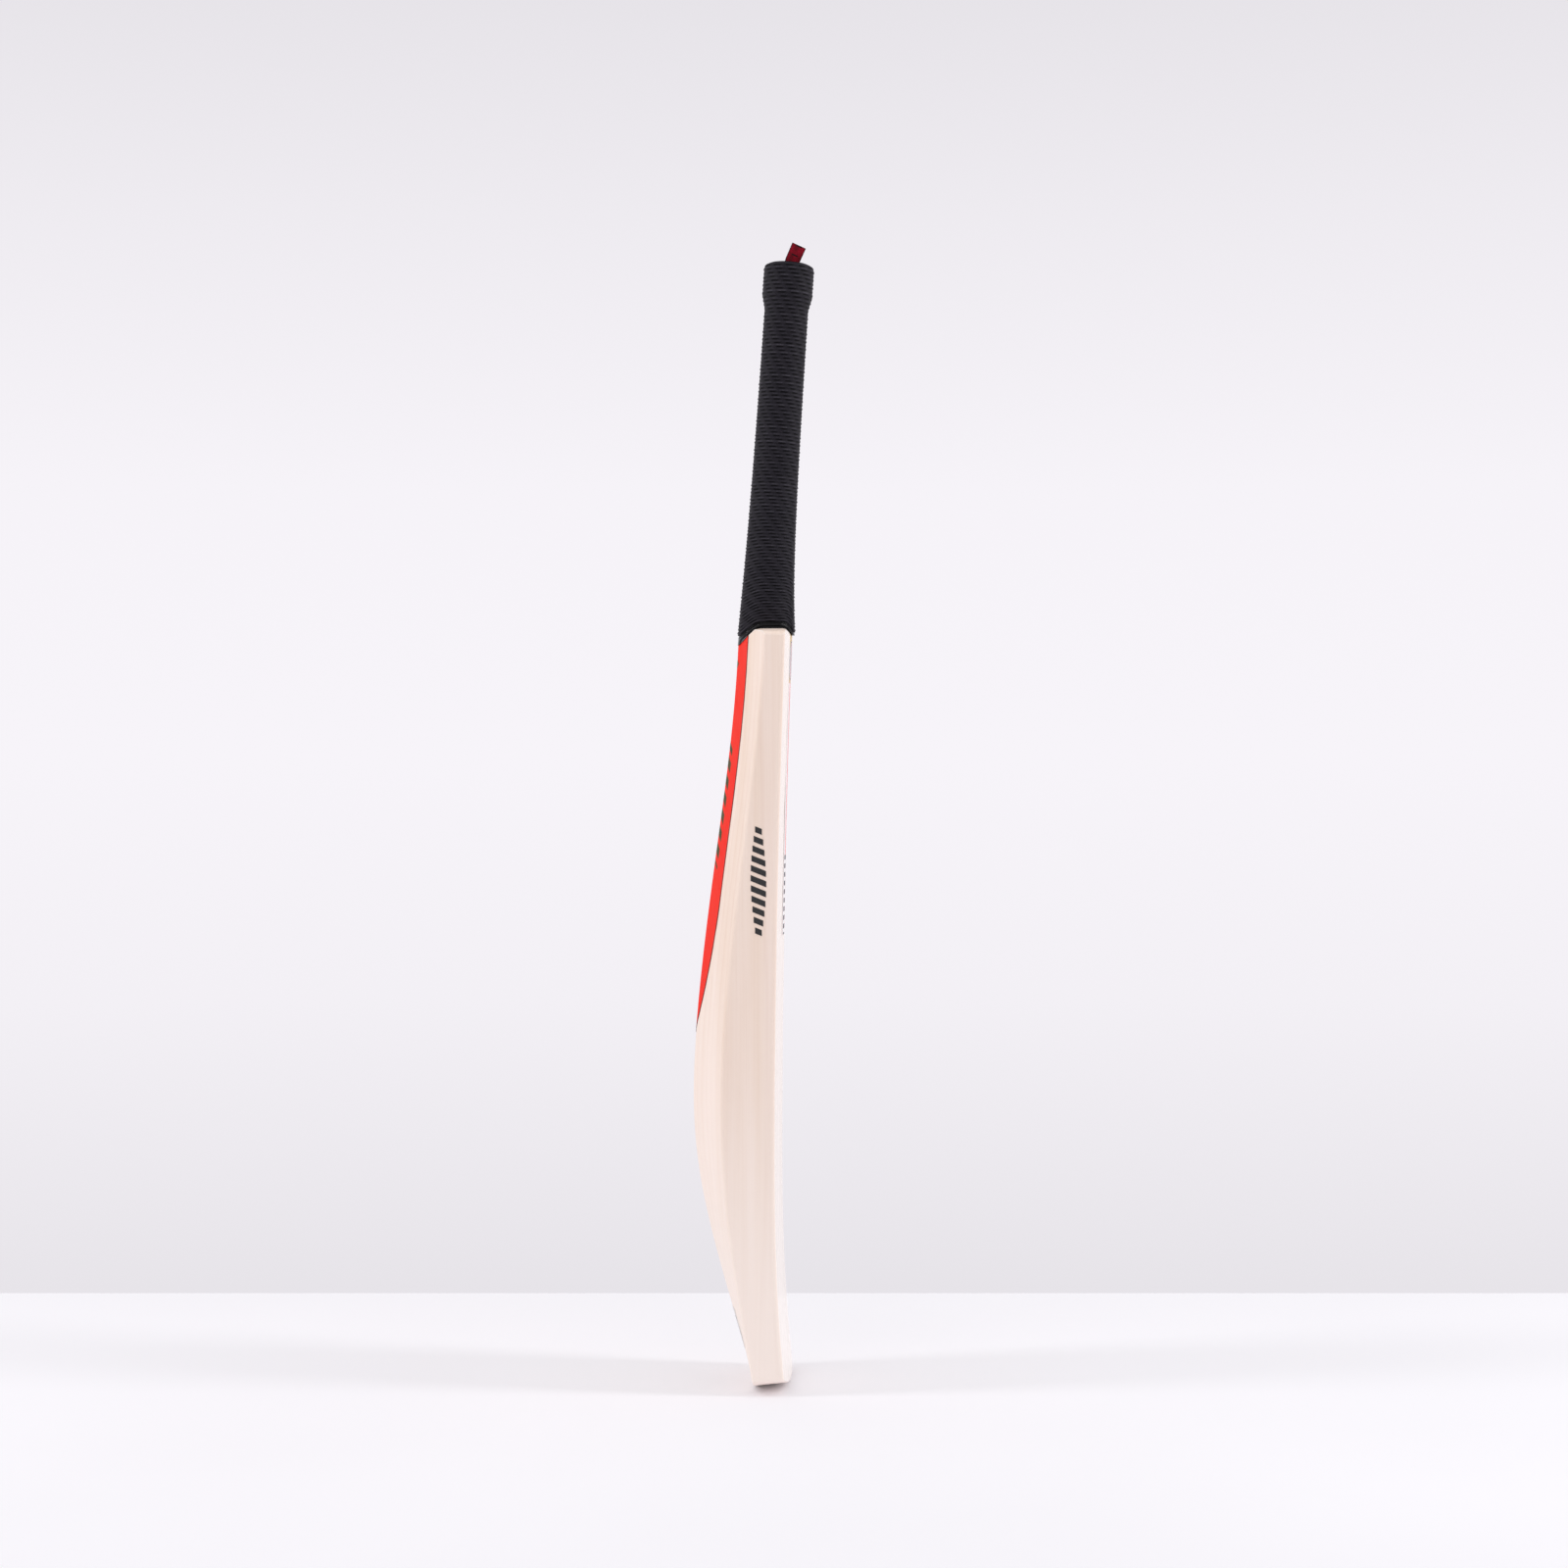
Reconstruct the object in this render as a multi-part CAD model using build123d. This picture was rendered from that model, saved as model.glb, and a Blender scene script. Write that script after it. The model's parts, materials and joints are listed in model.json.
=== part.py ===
# Cricket bat: a willow blade with a spliced cane handle, bound, gripped and labelled.
#
# The bat is modelled standing on its toe: z is the height above the toe's lowest point, x runs
# across the blade and the hitting face looks towards -y. Every piece is then moved into the
# part's own frame, whose origin is the middle of the holding place on the handle's centre line.
from build123d import *
import math
import os

# ---- Blade: overall form (mm) ------------------------------------------------------------
BLADE_LENGTH = 569.0        # toe to the crest of the shoulders
BLADE_WIDTH = 108.0         # the widest that the laws of the game allow
SWELL_HEIGHT = 213.0        # height of the thickest part of the blade

TOE_EDGE = 23.0             # thickness of the edges at the toe
SWELL_EDGE = 40.0           # the same at the swell: the most that the laws allow
SHOULDER_EDGE = 15.8        # the same at the shoulders

TOE_SPINE = 28.9            # thickness over the spine at the toe
SWELL_SPINE = 66.4          # the same at the swell
SHOULDER_SPINE = 39.4       # the same at the shoulders

TOE_CURL = 8.3              # how far the face comes forward at the toe
TOE_CURL_POWER = 2.6        # how late that curl sets in
SHOULDER_CURL = 7.9         # how far the face comes forward at the shoulders
SHOULDER_CURL_POWER = 1.75
FLAT_HEIGHT = 185.0         # height at which the face is furthest back

FACE_CROWN = 1.8            # rise of the face between its two edges
FACE_CORNER = 2.2           # rounding between face and edge
BACK_CORNER = 1.8           # rounding between edge and back slope
SPINE_RADIUS = 9.0          # rounding along the spine

# ---- Blade: toe and shoulder outlines ----------------------------------------------------
TOE_ROUND = 9.5             # rise of the toe's curve from its middle to the edges
TOE_CORNER = 5.0            # corner radius of the toe, seen from the face
TOE_TILT = 6.5              # degrees; the toe is cut square to the curled blade, higher at the face
TOE_EASING = 1.5            # softened rim all round the toe
SHOULDER_DROP = 4.0         # fall of the shoulders from the crest to the edges
SHOULDER_CORNER = 5.0       # corner radius of the shoulders, seen from the face
CREST_HALF_WIDTH = 18.5     # half the width of the level crest, where the shoulders begin
SHOULDER_FRONT_ROUND = 7.5  # rounding of the crest towards the face
SHOULDER_BACK_ROUND = 15.0  # rounding of the crest towards the back
SHOULDER_BACK_SLOPE = 33.0  # degrees; the rounding then runs straight on at this slope
CREST_BACK = 10.5           # where the flat of the crest ends, behind the middle of the face

# ---- Handle ------------------------------------------------------------------------------
HANDLE_LENGTH = 276.8       # crest of the shoulders to the rim, along the handle
HANDLE_LEAN = 3.85          # lean of the handle towards the face, degrees
HANDLE_SEAT_Y = 12.3        # the handle's centre line at the crest, behind the middle of the face
NECK_DEPTH = 42.0           # over the grip, front to back, at the crest
NECK_WIDTH = 36.4           # the same across
GRIP_DIAMETER = 32.6        # over the grip near the top, where the handle is round
NECK_FADE = 80.0            # the oval neck dies away over this length
NECK_SHIFT = 1.4            # the neck's middle lies this far to the face's side of that line
NECK_SHIFT_FADE = 32.0      # that shift dies away over this length
HOLD_DISTANCE = 150.0       # crest to the middle of the holding place
CANE_ROOT = -6.0            # the round handle runs this far down into the crest

GRIP_WALL = 2.4
BINDING_WALL = 0.8
TOP_RECESS = 2.5            # cane ends below the rim of the grip
BINDING_STOP = 17.0         # the winding ends this far below the rim
BINDING_START = 12.0        # the winding starts this far above the crest
KNOB_DIAMETER = 37.8
KNOB_LENGTH = 35.5          # with the flare at its foot
KNOB_FLARE = 11.0           # length of that flare
KNOB_RIM_ROUND = 4.5

SPLICE_DEPTH = 146.0        # from the crest down to the point of the V
SPLICE_HALF_WIDTH = 16.0    # half the width of the V at the crest
LATHS_ACROSS = 4
MIDDLE_LAYER = 8.6          # thickness of the middle layer of laths
SPRING_THICKNESS = 1.3      # rubber sheets between the layers

# ---- Neck tape ---------------------------------------------------------------------------
TAPE_HALF_WIDTH = 21.0      # how far the tape reaches out along the shoulders
TAPE_LIFT = 0.7             # thickness of the tape where it lies on the blade
TAPE_HEIGHT = 5.0           # height of the band above the crest
TAPE_BACK_HEIGHT = 6.0      # height of the band on the back
TAPE_FRONT_HEIGHT = 2.5     # height of the band on the face
TAPE_FRONT_DROP = 4.5       # how far below the crest the band comes on the face
TAPE_BACK_DROP = 12.0       # the same on the back
HEM_GAP = 0.1               # the grip's hem just clears the tape

# ---- Ribbon ------------------------------------------------------------------------------
RIBBON_WIDTH = 11.0
RIBBON_THICKNESS = 0.6
RIBBON_STAND = 13.5         # length showing above the rim
RIBBON_TUCK = 12.0          # length tucked between cane and grip
RIBBON_LEAN = 20.0          # degrees, towards the face
RIBBON_TURN = 14.0          # place round the handle, degrees from the left side to the face
RIBBON_OFFSET = -0.6        # its foot lies this far to the face's side of that place

# ---- Labels ------------------------------------------------------------------------------
LABEL_THICKNESS = 0.25
BACK_LABEL_WIDTH = 45.5
BACK_LABEL_LENGTH = 305.0   # from the crest to its pointed end, on the spine
BACK_LABEL_TAPER = 104.0    # length of the pointed end
FACE_LABEL_WIDTH = 30.0
FACE_LABEL_LENGTH = 190.0
FACE_LABEL_DROP = 40.5      # from the crest to its top
BADGE_DIAMETER = 30.0
BADGE_DROP = 23.5           # from the crest to its centre
MARK_WIDTH = 11.5           # the mark on each edge is a row of slanted bars
MARK_END_WIDTH = 5.0
MARK_DROP = 188.5           # from the crest to its middle
MARK_LENGTH = 79.0
MARK_BAR = 4.4
MARK_BARS = 11
MARK_SLANT = 22.0           # degrees
TOE_LABEL_WIDTH = 36.0
TOE_LABEL_LENGTH = 29.0
TOE_LABEL_HEIGHT = 42.5
LABEL_CORNER = 3.0

# ---- Modelling allowances ----------------------------------------------------------------
FIT_GAP = 0.1               # clearance inside the grip, round the binding and the ribbon
EASE = 0.3                  # cutters stand this far outside the surface that they run out on
REACH = 500.0               # long enough to pass right through the bat

HALF_WIDTH = BLADE_WIDTH / 2
LEAN = math.radians(HANDLE_LEAN)
HANDLE = Plane(
    origin=(0, HANDLE_SEAT_Y, BLADE_LENGTH),
    x_dir=(1, 0, 0),
    z_dir=(0, -math.sin(LEAN), math.cos(LEAN)),
)
TOE_CUT = (0, -math.cos(math.radians(TOE_TILT)), math.sin(math.radians(TOE_TILT)))
FACE_VIEW = Plane(origin=(0, 0, 0), x_dir=(1, 0, 0), z_dir=(0, -1, 0))
EDGE_VIEW = Plane(origin=(0, 0, 0), x_dir=(0, 1, 0), z_dir=(1, 0, 0))


# ---- Shape of the blade ------------------------------------------------------------------
def ease(u):
    """A smooth step from 0 to 1."""
    return 3 * u**2 - 2 * u**3


def between(height, toe, swell, shoulder):
    """A thickness that grows from the toe to the swell and falls to the shoulders."""
    if height < SWELL_HEIGHT:
        u = height / SWELL_HEIGHT
        full = (ease(u) + math.sin(u * math.pi / 2)) / 2
        return toe + (swell - toe) * full
    u = (height - SWELL_HEIGHT) / (BLADE_LENGTH - SWELL_HEIGHT)
    return swell + (shoulder - swell) * ease(u)


def edge_thickness(height):
    return between(height, TOE_EDGE, SWELL_EDGE, SHOULDER_EDGE)


def spine_thickness(height):
    return between(height, TOE_SPINE, SWELL_SPINE, SHOULDER_SPINE)


def face_y(height):
    """The middle line of the face: it bows forward towards the toe and the shoulders."""
    if height < FLAT_HEIGHT:
        u = (FLAT_HEIGHT - height) / FLAT_HEIGHT
        return -TOE_CURL * u**TOE_CURL_POWER
    u = (height - FLAT_HEIGHT) / (BLADE_LENGTH - FLAT_HEIGHT)
    return -SHOULDER_CURL * u**SHOULDER_CURL_POWER


def blade_section(height, grow=0.0):
    """The blade's cross-section: crowned face, flat edges, straight slopes, rounded spine."""
    half = HALF_WIDTH + grow
    face = face_y(height) - grow
    rim = face + FACE_CROWN
    edge_back = rim + edge_thickness(height) + 2 * grow
    spine_back = face + spine_thickness(height) + 2 * grow
    centre = spine_back - SPINE_RADIUS
    reach = math.hypot(half, edge_back - centre)
    turn = math.atan2(edge_back - centre, half) + math.acos(SPINE_RADIUS / reach)
    crown = Vector(SPINE_RADIUS * math.cos(turn), centre + SPINE_RADIUS * math.sin(turn))
    corner = Vector(half, edge_back)
    slope = (crown - corner).normalized()
    start = corner + slope * BACK_CORNER

    def left(point):
        return (-point.X, point.Y)

    edges = [
        ThreePointArc((FACE_CORNER - half, rim), (0, face), (half - FACE_CORNER, rim)),
        TangentArc((half, rim + FACE_CORNER), (half - FACE_CORNER, rim), tangent=(0, -1)),
        Line((half, rim + FACE_CORNER), (half, edge_back - BACK_CORNER)),
        TangentArc((half, edge_back - BACK_CORNER), start, tangent=(0, 1)),
        Line(start, crown),
        ThreePointArc(crown, (0, spine_back), left(crown)),
        Line(left(crown), left(start)),
        TangentArc((-half, edge_back - BACK_CORNER), left(start), tangent=(0, 1)),
        Line((-half, edge_back - BACK_CORNER), (-half, rim + FACE_CORNER)),
        TangentArc((-half, rim + FACE_CORNER), (FACE_CORNER - half, rim), tangent=(0, -1)),
    ]
    return Plane.XY.offset(height) * make_face(edges)


def blade_loft(grow=0.0):
    """The blade's long form, before its toe and shoulders are cut to shape."""
    below = [SWELL_HEIGHT * share for share in (-0.04, 0.1, 0.25, 0.45, 0.7)]
    rest = BLADE_LENGTH - SWELL_HEIGHT
    above = [SWELL_HEIGHT + rest * share for share in (0, 0.2, 0.4, 0.6, 0.8, 1.03)]
    return loft([blade_section(height, grow) for height in below + above])


def shoulder_outline(grow=0.0):
    """The nearly square shoulders and all below them, seen from the face."""
    side = HALF_WIDTH + EASE + grow
    crest = BLADE_LENGTH + grow
    spring = crest - SHOULDER_DROP
    shape = FACE_VIEW * make_face(Polyline(
        (-side, -SWELL_HEIGHT),
        (side, -SWELL_HEIGHT),
        (side, spring),
        (CREST_HALF_WIDTH, crest),
        (-CREST_HALF_WIDTH, crest),
        (-side, spring),
        close=True,
    ))
    corners = [spot for spot in shape.vertices() if abs(spot.Z - spring) < EASE]
    return fillet(corners, SHOULDER_CORNER)


def toe_outline(grow=0.0):
    """The curved toe with its round corners and all above it, seen square to the toe's cut."""
    side = HALF_WIDTH + EASE + grow
    foot = TOE_ROUND - grow
    top = BLADE_LENGTH + REACH
    shape = make_face([
        ThreePointArc((-side, foot), (0, -grow), (side, foot)),
        Line((side, foot), (side, top)),
        Line((side, top), (-side, top)),
        Line((-side, top), (-side, foot)),
    ])
    shape = fillet(shape.vertices().sort_by(Axis.Y)[:2], TOE_CORNER)
    return Plane((0, face_y(0) + TOE_SPINE, 0), (1, 0, 0), TOE_CUT) * shape


def crest_cutter(grow=0.0):
    """What is cut off the crest, seen from the edge: it is rounded to the face and the back."""
    top = BLADE_LENGTH + grow
    front = face_y(BLADE_LENGTH) - EASE - grow
    slope = math.radians(SHOULDER_BACK_SLOPE)
    back = CREST_BACK + SHOULDER_BACK_ROUND * math.sin(slope)
    back_z = top - SHOULDER_BACK_ROUND * (1 - math.cos(slope))
    run_out = back + SHOULDER_SPINE
    foot = back_z - SHOULDER_SPINE * math.tan(slope)
    cutter = make_face([
        Line((front, foot), (front, top - SHOULDER_FRONT_ROUND)),
        TangentArc(
            (front, top - SHOULDER_FRONT_ROUND),
            (front + SHOULDER_FRONT_ROUND, top),
            tangent=(0, 1),
        ),
        Line((front + SHOULDER_FRONT_ROUND, top), (CREST_BACK, top)),
        TangentArc((CREST_BACK, top), (back, back_z), tangent=(1, 0)),
        Line((back, back_z), (run_out, foot)),
        Line((run_out, foot), (REACH, foot)),
        Line((REACH, foot), (REACH, top + REACH)),
        Line((REACH, top + REACH), (-REACH, top + REACH)),
        Line((-REACH, top + REACH), (-REACH, foot)),
        Line((-REACH, foot), (front, foot)),
    ])
    return extrude(EDGE_VIEW * cutter, REACH, both=True)


def blade_form(grow=0.0):
    """The whole blade with no splice cut in it."""
    form = blade_loft(grow) & extrude(shoulder_outline(grow), REACH, both=True)
    form &= extrude(toe_outline(grow), REACH, both=True)
    return form - crest_cutter(grow)


def soften(form):
    """Ease the sharp rim that the cut leaves round the toe."""
    toe_top = TOE_ROUND + TOE_CORNER + TOE_SPINE * TOE_CUT[2]
    toe = [
        edge for edge in form.edges()
        if edge.bounding_box().max.Z < toe_top and edge.geom_type != GeomType.LINE
    ]
    return fillet(toe, min(TOE_EASING, 0.85 * BACK_CORNER))


# ---- Shape of the handle -----------------------------------------------------------------
def handle_half(along, neck):
    """Half the width over the grip, this far along the handle from the crest."""
    top = GRIP_DIAMETER / 2
    return top + (neck / 2 - top) * math.exp(-along / NECK_FADE)


def handle_loft(inset, stop, start=CANE_ROOT):
    """The handle's long form, set in from the outside of the grip."""
    steps = 7
    sections = []
    for step in range(steps + 1):
        share = (step / steps) ** 1.5
        along = start + (HANDLE_LENGTH + TOP_RECESS - start) * share
        across = handle_half(along, NECK_WIDTH) - inset
        deep = handle_half(along, NECK_DEPTH) - inset
        shift = NECK_SHIFT * math.exp(-along / NECK_SHIFT_FADE)
        sections.append(HANDLE.offset(along) * Pos(0, -shift) * Ellipse(across, deep))
    return loft(sections) & handle_band(start - TOP_RECESS, stop)


def handle_band(start, stop):
    """All that lies between two heights on the handle."""
    return extrude(HANDLE.offset(start) * Circle(REACH), stop - start)


CANE_INSET = GRIP_WALL + FIT_GAP + BINDING_WALL
CANE_TOP = HANDLE_LENGTH - TOP_RECESS


def splice_wedge():
    """The V that the handle fills, cut right through the blade from face to back."""
    lift = SHOULDER_CORNER
    spread = SPLICE_HALF_WIDTH * (SPLICE_DEPTH + lift) / SPLICE_DEPTH
    tip = (0, BLADE_LENGTH - SPLICE_DEPTH)
    top = BLADE_LENGTH + lift
    shape = make_face(Polyline(tip, (spread, top), (-spread, top), close=True))
    return extrude(FACE_VIEW * shape, REACH, both=True)


def cane_form(form):
    """All the cane as one: the round handle and the tongue that is glued into the blade."""
    tongue = form & splice_wedge()
    return tongue + handle_loft(CANE_INSET, CANE_TOP)


def blade(form):
    return form - splice_wedge() - handle_loft(CANE_INSET, CANE_TOP)


def layer_block(low, high, left, right):
    """A long block in the handle's own frame: low and high front to back, left and right across."""
    centre = ((left + right) / 2, (low + high) / 2)
    shape = Pos(*centre) * Rectangle(right - left, high - low)
    return extrude(HANDLE * shape, 2 * REACH, both=True)


def layer_bounds():
    """Where each layer of laths begins and ends, in the handle's own frame."""
    inner = MIDDLE_LAYER / 2
    outer = inner + SPRING_THICKNESS
    return {
        "front": (-REACH, -outer),
        "middle": (-inner, inner),
        "rear": (outer, REACH),
    }


def laths(cane):
    """Cane laths, glued side by side in three layers."""
    widest = NECK_WIDTH / 2 - CANE_INSET
    pitch = 2 * widest / LATHS_ACROSS
    pieces = {}
    for layer, (low, high) in layer_bounds().items():
        for number in range(LATHS_ACROSS):
            first = number == 0
            last = number == LATHS_ACROSS - 1
            left = -REACH if first else -widest + number * pitch
            right = REACH if last else -widest + (number + 1) * pitch
            pieces[f"{layer}_cane_{number + 1}"] = cane & layer_block(low, high, left, right)
    return pieces


def rubber_springs(cane):
    """Thin rubber sheets between the layers, which let the handle flex."""
    inner = MIDDLE_LAYER / 2
    outer = inner + SPRING_THICKNESS
    return {
        "front_rubber_spring": cane & layer_block(-outer, -inner, -REACH, REACH),
        "rear_rubber_spring": cane & layer_block(inner, outer, -REACH, REACH),
    }


def handle_binding():
    """The twine wound round the cane, as one sleeve."""
    outside = handle_loft(GRIP_WALL + FIT_GAP, CANE_TOP)
    inside = handle_loft(CANE_INSET, CANE_TOP)
    return (outside - inside) & handle_band(BINDING_START, HANDLE_LENGTH - BINDING_STOP)


# ---- Neck tape and grip ------------------------------------------------------------------
def arch_region(front_z, crest_z, back_z):
    """All that lies above an arch over the crest, seen from the edge."""
    front = face_y(BLADE_LENGTH) - EASE - TAPE_LIFT
    shoulder_front = front + SHOULDER_FRONT_ROUND
    back = face_y(BLADE_LENGTH) + SHOULDER_SPINE + TAPE_LIFT
    arch = make_face([
        Line((-REACH, front_z), (front, front_z)),
        Spline(
            (front, front_z),
            (shoulder_front, crest_z),
            tangents=((0.3, 1), (1, 0)),
        ),
        Line((shoulder_front, crest_z), (CREST_BACK, crest_z)),
        Spline(
            (CREST_BACK, crest_z),
            (back, back_z),
            tangents=((1, 0), (1, -0.5)),
        ),
        Line((back, back_z), (REACH, back_z)),
        Line((REACH, back_z), (REACH, BLADE_LENGTH + REACH)),
        Line((REACH, BLADE_LENGTH + REACH), (-REACH, BLADE_LENGTH + REACH)),
        Line((-REACH, BLADE_LENGTH + REACH), (-REACH, front_z)),
    ])
    return extrude(EDGE_VIEW * arch, REACH, both=True)


def above_tape_foot():
    return arch_region(
        BLADE_LENGTH - TAPE_FRONT_DROP,
        BLADE_LENGTH - TAPE_LIFT,
        BLADE_LENGTH - TAPE_BACK_DROP,
    )


def above_tape_head(gap=0.0):
    return arch_region(
        BLADE_LENGTH - TAPE_FRONT_DROP + TAPE_FRONT_HEIGHT + gap,
        BLADE_LENGTH + TAPE_HEIGHT + gap,
        BLADE_LENGTH - TAPE_BACK_DROP + TAPE_BACK_HEIGHT + gap,
    )


def neck_tape(form, cane):
    """Tape wound round the foot of the handle and lapped on to the blade."""
    wrap = blade_form(TAPE_LIFT) & extrude(
        FACE_VIEW * Pos(0, BLADE_LENGTH) * Rectangle(2 * TAPE_HALF_WIDTH, 2 * TAPE_HALF_WIDTH),
        REACH,
        both=True,
    )
    winding = handle_loft(0, CANE_TOP, -TAPE_BACK_DROP - TAPE_HEIGHT)
    ring = (winding + wrap) & above_tape_foot()
    return ring - above_tape_head() - form - cane


def knob():
    """The thicker top of the grip, before it is bored."""
    foot = HANDLE.offset(HANDLE_LENGTH - KNOB_LENGTH) * Circle(GRIP_DIAMETER / 2 - EASE)
    full = HANDLE.offset(HANDLE_LENGTH - KNOB_LENGTH + KNOB_FLARE) * Circle(KNOB_DIAMETER / 2)
    body = loft([foot, full]) + extrude(full, KNOB_LENGTH - KNOB_FLARE)
    rims = body.edges().filter_by(GeomType.CIRCLE)
    return fillet(max(rims, key=lambda rim: rim.center().Z), KNOB_RIM_ROUND)


def grip(form):
    """The rubber grip: a sleeve with a thicker knob, open at both ends."""
    sleeve = handle_loft(0, HANDLE_LENGTH - KNOB_LENGTH / 2)
    bore = handle_loft(GRIP_WALL, HANDLE_LENGTH + TOP_RECESS)
    body = ((sleeve + knob()) - bore) & above_tape_head(HEM_GAP)
    return body - form - ribbon_tag(FIT_GAP)


def ribbon_tag(grow=0.0):
    """The folded ribbon: tucked in beside the cane, it leans out over the rim."""
    cane_radius = handle_half(HANDLE_LENGTH, NECK_DEPTH) - CANE_INSET
    turn = math.radians(RIBBON_TURN)
    outward = HANDLE.x_dir * -math.cos(turn) + HANDLE.y_dir * -math.sin(turn)
    sideways = HANDLE.x_dir * math.sin(turn) + HANDLE.y_dir * -math.cos(turn)
    rim = HANDLE.origin + HANDLE.z_dir * HANDLE_LENGTH
    seat = rim + outward * (cane_radius + FIT_GAP - grow) + sideways * RIBBON_OFFSET
    sheet = Plane(origin=seat, x_dir=sideways, z_dir=outward)
    width = RIBBON_WIDTH + 2 * grow
    tuck = RIBBON_TUCK + grow
    tucked = Pos(0, -tuck / 2) * Rectangle(width, tuck)
    standing = Rot(0, 0, -RIBBON_LEAN) * Pos(0, RIBBON_STAND / 2) * Rectangle(width, RIBBON_STAND)
    return extrude(sheet * (tucked + standing), RIBBON_THICKNESS + 2 * grow)


# ---- Labels ------------------------------------------------------------------------------
def skin(form, cover, shape, view, direction):
    """A thin layer over the blade, within a shape that is drawn in one of the views."""
    return (cover & extrude(view * shape, REACH, dir=direction)) - form


def rounded(width, length, height):
    """A label with round corners, centred this high above the toe."""
    return Pos(0, height) * RectangleRounded(width, length, LABEL_CORNER)


def back_label(form, cover, cane):
    """The long label down the back, which ends in a point on the spine."""
    half = BACK_LABEL_WIDTH / 2
    tip = BLADE_LENGTH - BACK_LABEL_LENGTH
    shoulder = tip + BACK_LABEL_TAPER
    shape = make_face([
        TangentArc((half, shoulder), (0, tip), tangent=(0, -1)),
        TangentArc((-half, shoulder), (0, tip), tangent=(0, -1)),
        Line((half, shoulder), (half, BLADE_LENGTH)),
        Line((half, BLADE_LENGTH), (-half, BLADE_LENGTH)),
        Line((-half, BLADE_LENGTH), (-half, shoulder)),
    ])
    return skin(form, cover, shape, FACE_VIEW, (0, 1, 0)) - above_tape_foot() - cane


def face_label(form, cover):
    middle = BLADE_LENGTH - FACE_LABEL_DROP - FACE_LABEL_LENGTH / 2
    shape = rounded(FACE_LABEL_WIDTH, FACE_LABEL_LENGTH, middle)
    return skin(form, cover, shape, FACE_VIEW, (0, -1, 0))


def face_badge(form, cover):
    shape = Pos(0, BLADE_LENGTH - BADGE_DROP) * Circle(BADGE_DIAMETER / 2)
    return skin(form, cover, shape, FACE_VIEW, (0, -1, 0))


def toe_label(form, cover):
    shape = rounded(TOE_LABEL_WIDTH, TOE_LABEL_LENGTH, TOE_LABEL_HEIGHT)
    return skin(form, cover, shape, FACE_VIEW, (0, 1, 0))


def mark_bar(width, height):
    """One slanted bar of the mark on an edge."""
    centre = BLADE_LENGTH - MARK_DROP
    middle = face_y(centre) + FACE_CROWN + edge_thickness(centre) / 2
    left = middle - width / 2
    right = middle + width / 2
    drop = math.tan(math.radians(MARK_SLANT)) * width / 2
    return make_face(Polyline(
        (left, height - MARK_BAR / 2 - drop),
        (right, height - MARK_BAR / 2 + drop),
        (right, height + MARK_BAR / 2 + drop),
        (left, height + MARK_BAR / 2 - drop),
        close=True,
    ))


def edge_mark(form, cover, side):
    """A row of slanted bars on one edge, widest in the middle."""
    run = MARK_LENGTH - MARK_BAR
    bars = []
    for number in range(MARK_BARS):
        share = number / (MARK_BARS - 1)
        width = MARK_END_WIDTH + (MARK_WIDTH - MARK_END_WIDTH) * math.sin(share * math.pi)
        bar = mark_bar(width, BLADE_LENGTH - MARK_DROP + (share - 0.5) * run)
        bars += skin(form, cover, bar, EDGE_VIEW, (side, 0, 0)).solids()
    return Compound(bars)


def to_part_frame(piece):
    """Move a piece so that the middle of the holding place is the origin."""
    hold = HANDLE.origin + HANDLE.z_dir * HOLD_DISTANCE
    return Pos(-hold.X, -hold.Y, -hold.Z) * piece


def all_pieces():
    form = soften(blade_form())
    cover = blade_form(LABEL_THICKNESS)
    cane = cane_form(form)
    pieces = {"blade": blade(form)}
    pieces.update(laths(cane))
    pieces.update(rubber_springs(cane))
    pieces["handle_binding"] = handle_binding()
    pieces["neck_tape"] = neck_tape(form, cane)
    pieces["grip"] = grip(form)
    pieces["ribbon_tag"] = ribbon_tag()
    pieces["back_label"] = back_label(form, cover, cane)
    pieces["face_label"] = face_label(form, cover)
    pieces["face_badge"] = face_badge(form, cover)
    pieces["toe_label"] = toe_label(form, cover)
    pieces["left_edge_mark"] = edge_mark(form, cover, -1)
    pieces["right_edge_mark"] = edge_mark(form, cover, 1)
    return pieces


if __name__ == "__main__":
    os.makedirs("parts", exist_ok=True)
    for name, piece in all_pieces().items():
        export_step(to_part_frame(piece), f"parts/{name}.step")
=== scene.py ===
"""The looks of a cricket bat: its finishes, ribbed grip, ribbon, floor, light and camera.

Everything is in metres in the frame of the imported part: the origin is where the bat is held,
+Z runs up the bat, x across the blade, and the hitting face looks towards -Y. "Height" is
measured from the lowest point of the toe, and "along" from the crest up the leaning handle.
"""
import json
import math
import random

import bpy
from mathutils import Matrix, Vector
from mathutils.bvhtree import BVHTree


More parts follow.
